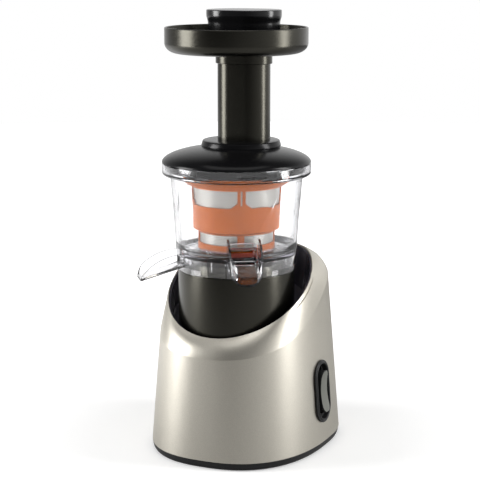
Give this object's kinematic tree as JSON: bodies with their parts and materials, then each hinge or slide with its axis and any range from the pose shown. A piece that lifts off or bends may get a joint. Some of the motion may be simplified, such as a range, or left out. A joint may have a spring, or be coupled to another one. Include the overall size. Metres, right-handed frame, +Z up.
{
  "type": "cold press juicer",
  "caption": "Upright slow juicer: silver stand with a swept opening, dark drum, clear bowl with two spouts, strainer, black lid, tray and pusher.",
  "frame": {"origin": "middle of the footprint, on the worktop under the feet", "axes": "+Z up, -Y to the front with the pulp spout, +X to the side with the switch"},
  "size_m": [0.1902, 0.2187, 0.46],
  "materials": {
    "silver_shell": "satin metallic",
    "gunmetal": "satin metallic",
    "black_gloss": "polished",
    "black_plastic": "fine texture",
    "grey_plastic": "fine texture",
    "rubber": "matt",
    "steel": "turned",
    "mesh_steel": "punched sheet",
    "aluminium": "cast",
    "iron": "stacked sheets",
    "copper": "enamelled wire",
    "gear_plastic": "moulded",
    "board": "lacquered",
    "clear_plastic": "clear polished",
    "red_silicone": "soft",
    "orange_plastic": "semi-gloss",
    "screw_plastic": "moulded",
    "bush_brass": "turned"
  },
  "bodies": {
    "base": {"outer_shell": "silver_shell", "trim_liner": "black_gloss", "drum": "gunmetal", "base_plate": "black_plastic", "rubber_feet": "rubber", "base_screws": "steel", "cord_gland": "rubber", "switch_bezel": "black_plastic", "switch_body": "black_plastic", "run_capacitor": "aluminium", "control_board": "board", "motor_dampers": "rubber", "lower_motor_bracket": "aluminium", "upper_motor_bracket": "aluminium", "motor_screws": "steel", "stator_core": "iron", "motor_windings": "copper", "motor_bearings": "steel", "gearbox_case": "aluminium", "bearing_plate": "aluminium", "gearbox_cover": "aluminium", "gearbox_screws": "steel", "gear_axle": "steel", "output_bearings": "steel", "drum_oil_seal": "rubber"},
    "rotor": {"motor_shaft": "steel", "rotor_core": "iron", "cooling_fan": "black_plastic"},
    "compound": {"compound_gear": "gear_plastic"},
    "output": {"output_gear": "gear_plastic", "output_shaft": "steel"},
    "switch": {"rocker": "grey_plastic"},
    "bowl": {"juice_bowl": "clear_plastic", "bowl_shaft_seal": "red_silicone", "strainer_seal": "red_silicone", "pulp_gasket": "red_silicone", "strainer_frame": "orange_plastic", "strainer_mesh": "mesh_steel"},
    "screw": {"auger": "screw_plastic", "auger_drive_insert": "steel"},
    "lid_set": {"lid": "black_gloss", "auger_top_bush": "bush_brass", "feed_tube": "gunmetal"},
    "tray": {"tray": "gunmetal"},
    "pusher": {"pusher": "black_gloss"}
  },
  "joints": [
    {"name": "rotor_spin", "type": "hinge", "parent": "base", "child": "rotor", "pos_m": [0, -0.0141, 0.095], "axis": [0, 0, 1], "continuous": true},
    {"name": "middle_gear_spin", "type": "hinge", "parent": "base", "child": "compound", "pos_m": [0, 0.0115, 0.155], "axis": [0, 0, 1], "continuous": true},
    {"name": "output_spin", "type": "hinge", "parent": "base", "child": "output", "pos_m": [0, -0.0205, 0.19], "axis": [0, 0, 1], "continuous": true},
    {"name": "screw_spin", "type": "hinge", "parent": "bowl", "child": "screw", "pos_m": [0, -0.0205, 0.25], "axis": [0, 0, 1], "continuous": true},
    {"name": "switch_rock", "type": "hinge", "parent": "base", "child": "switch", "pos_m": [0.08168, 0.00084, 0.06243], "axis": [0.0455, 0.999, 0], "range_deg": [-11, 11]},
    {"name": "bowl_lift", "type": "slide", "parent": "base", "child": "bowl", "axis": [0, 0, 1], "range_m": [0, 0.06]},
    {"name": "lid_turn", "type": "hinge", "parent": "bowl", "child": "lid_set", "pos_m": [0, -0.0205, 0.305], "axis": [0, 0, 1], "range_deg": [0, 30]},
    {"name": "tray_lift", "type": "slide", "parent": "lid_set", "child": "tray", "axis": [0, 0, 1], "range_m": [0, 0.03]},
    {"name": "pusher_lift", "type": "slide", "parent": "tray", "child": "pusher", "axis": [0, 0, 1], "range_m": [0, 0.1]}
  ],
  "couplings": [
    {"joint": "middle_gear_spin", "follows": "rotor_spin", "ratio": -0.23077},
    {"joint": "output_spin", "follows": "rotor_spin", "ratio": 0.058824},
    {"joint": "screw_spin", "follows": "rotor_spin", "ratio": 0.058824}
  ]
}
